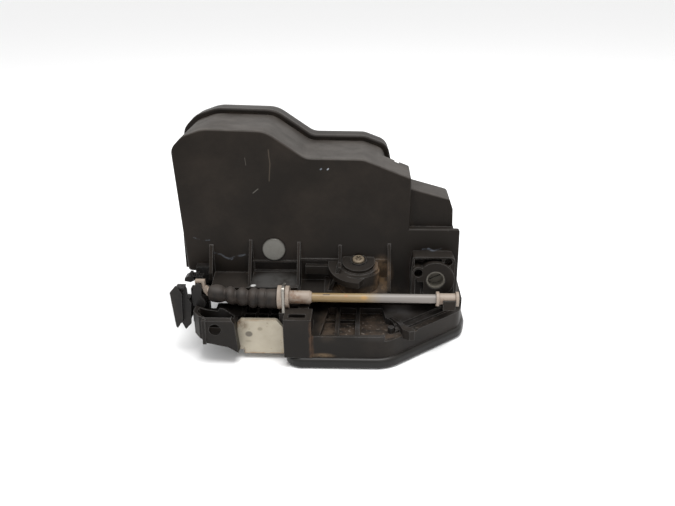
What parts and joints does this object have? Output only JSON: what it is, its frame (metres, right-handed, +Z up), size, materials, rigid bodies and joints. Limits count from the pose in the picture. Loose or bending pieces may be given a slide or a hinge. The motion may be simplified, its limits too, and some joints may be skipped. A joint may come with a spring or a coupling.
{
  "type": "car door lock",
  "caption": "L-shaped car door latch with a deep moulded actuator housing, a steel latch face with a rubber lip, a booted release cable and a key coupling.",
  "frame": {"origin": "a point on the outer mounting face of the latch plate, 6 mm beside the fork pin towards the slot", "axes": "+X along the cable towards its free end, +Y from the cable side to the back of the housing, +Z up from the mounting face"},
  "size_m": [0.1704, 0.1012, 0.1214],
  "materials": {
    "black_plastic": "fine grained, dusty",
    "frame_plastic": "fine grained, dusty",
    "seal_rubber": "soft sheen",
    "boot_rubber": "dull",
    "zinc_steel": "zinc passivated, stained",
    "bright_steel": "satin",
    "hard_steel": "greased",
    "spring_steel": "satin",
    "white_plastic": "stained",
    "conduit_plastic": "yellowed to grey-white",
    "lining_plastic": "smooth",
    "gear_plastic": "smooth",
    "lever_plastic": "satin",
    "copper": "stamped",
    "motor_can": "plated",
    "screw_steel": "passivated, rusty",
    "buffer_rubber": "dull"
  },
  "bodies": {
    "housing": {"back_plate": "zinc_steel", "boss_screw": "screw_steel", "cable_boot": "boot_rubber", "cable_bracket": "spring_steel", "cable_conduit": "conduit_plastic", "cable_ferrule": "white_plastic", "conduit_end": "white_plastic", "cover_clip": "lever_plastic", "cover_rivet": "bright_steel", "fin_clip": "lever_plastic", "fork_pin": "bright_steel", "fork_spring": "spring_steel", "fork_switch": "lining_plastic", "front_cover": "black_plastic", "gear_pins": "bright_steel", "housing_screws": "screw_steel", "latch_frame": "frame_plastic", "latch_plate": "zinc_steel", "lead_frame": "copper", "lock_motor": "motor_can", "lock_switch": "lining_plastic", "pawl_pin": "bright_steel", "pawl_spring": "spring_steel", "perimeter_seal": "seal_rubber", "plug_pins": "copper", "rear_housing": "black_plastic", "side_bracket": "frame_plastic", "slot_buffer": "buffer_rubber"},
    "fork": {"fork": "hard_steel", "fork_lining": "lining_plastic", "fork_peg": "lining_plastic"},
    "pawl": {"pawl": "hard_steel"},
    "outside_lever": {"outside_release_lever": "lever_plastic"},
    "slide": {"release_slide": "zinc_steel"},
    "inside_lever": {"inside_release_lever": "zinc_steel"},
    "cable_end": {"cable_wire": "white_plastic"},
    "key": {"key_rotor": "lever_plastic"},
    "wheel": {"lock_wheel": "gear_plastic"},
    "worm": {"lock_worm": "gear_plastic"},
    "lock_lever_body": {"lock_lever": "gear_plastic"}
  },
  "joints": [
    {"name": "slide_travel", "type": "slide", "parent": "housing", "child": "slide", "axis": [1, 0, 0], "range_m": [-0.00237, 0.00144], "stiffness_N_per_m": 1500},
    {"name": "outside_lever_turn", "type": "hinge", "parent": "housing", "child": "outside_lever", "pos_m": [-0.083, -0.02, 0.026], "axis": [0, 1, 0], "range_deg": [-14.1, 23.1]},
    {"name": "cable_travel", "type": "slide", "parent": "housing", "child": "cable_end", "axis": [1, 0, 0], "range_m": [-0.0026, 0.0042]},
    {"name": "pawl_turn", "type": "hinge", "parent": "housing", "child": "pawl", "pos_m": [0.0247, -0.0244, 0.006], "axis": [0, 0, 1], "range_deg": [-4.8, 7.7]},
    {"name": "inside_lever_turn", "type": "hinge", "parent": "housing", "child": "inside_lever", "pos_m": [-0.062, 0.02, 0.037], "axis": [0, 1, 0], "range_deg": [-8.4, 13.5]},
    {"name": "fork_turn", "type": "hinge", "parent": "housing", "child": "fork", "pos_m": [-0.006, 0.009, 0.006], "axis": [0, 0, 1], "range_deg": [-54, 0], "stiffness_Nm_per_rad": 0.15},
    {"name": "key_turn", "type": "hinge", "parent": "housing", "child": "key", "pos_m": [0.0432, -0.015, 0.0366], "axis": [0, 1, 0], "range_deg": [-45, 45]},
    {"name": "lock_wheel_turn", "type": "hinge", "parent": "housing", "child": "wheel", "pos_m": [-0.036, 0.012, 0.066], "axis": [0, 1, 0], "range_deg": [0, 75]},
    {"name": "lock_worm_turn", "type": "hinge", "parent": "housing", "child": "worm", "pos_m": [-0.036, 0.012, 0.0871], "axis": [1, 0, 0], "range_deg": [-2101, 1]},
    {"name": "lock_lever_turn", "type": "hinge", "parent": "housing", "child": "lock_lever_body", "pos_m": [-0.036, 0.017, 0.038], "axis": [0, 1, 0], "range_deg": [-25.2, 0.2]}
  ],
  "couplings": [
    {"joint": "outside_lever_turn", "follows": "slide_travel", "rad_per_m": -169.49},
    {"joint": "cable_travel", "follows": "slide_travel", "ratio": -1.661},
    {"joint": "pawl_turn", "follows": "slide_travel", "rad_per_m": -54.36},
    {"joint": "inside_lever_turn", "follows": "slide_travel", "rad_per_m": -96.15},
    {"joint": "lock_worm_turn", "follows": "lock_wheel_turn", "ratio": -28},
    {"joint": "lock_lever_turn", "follows": "lock_wheel_turn", "ratio": -0.33333}
  ]
}
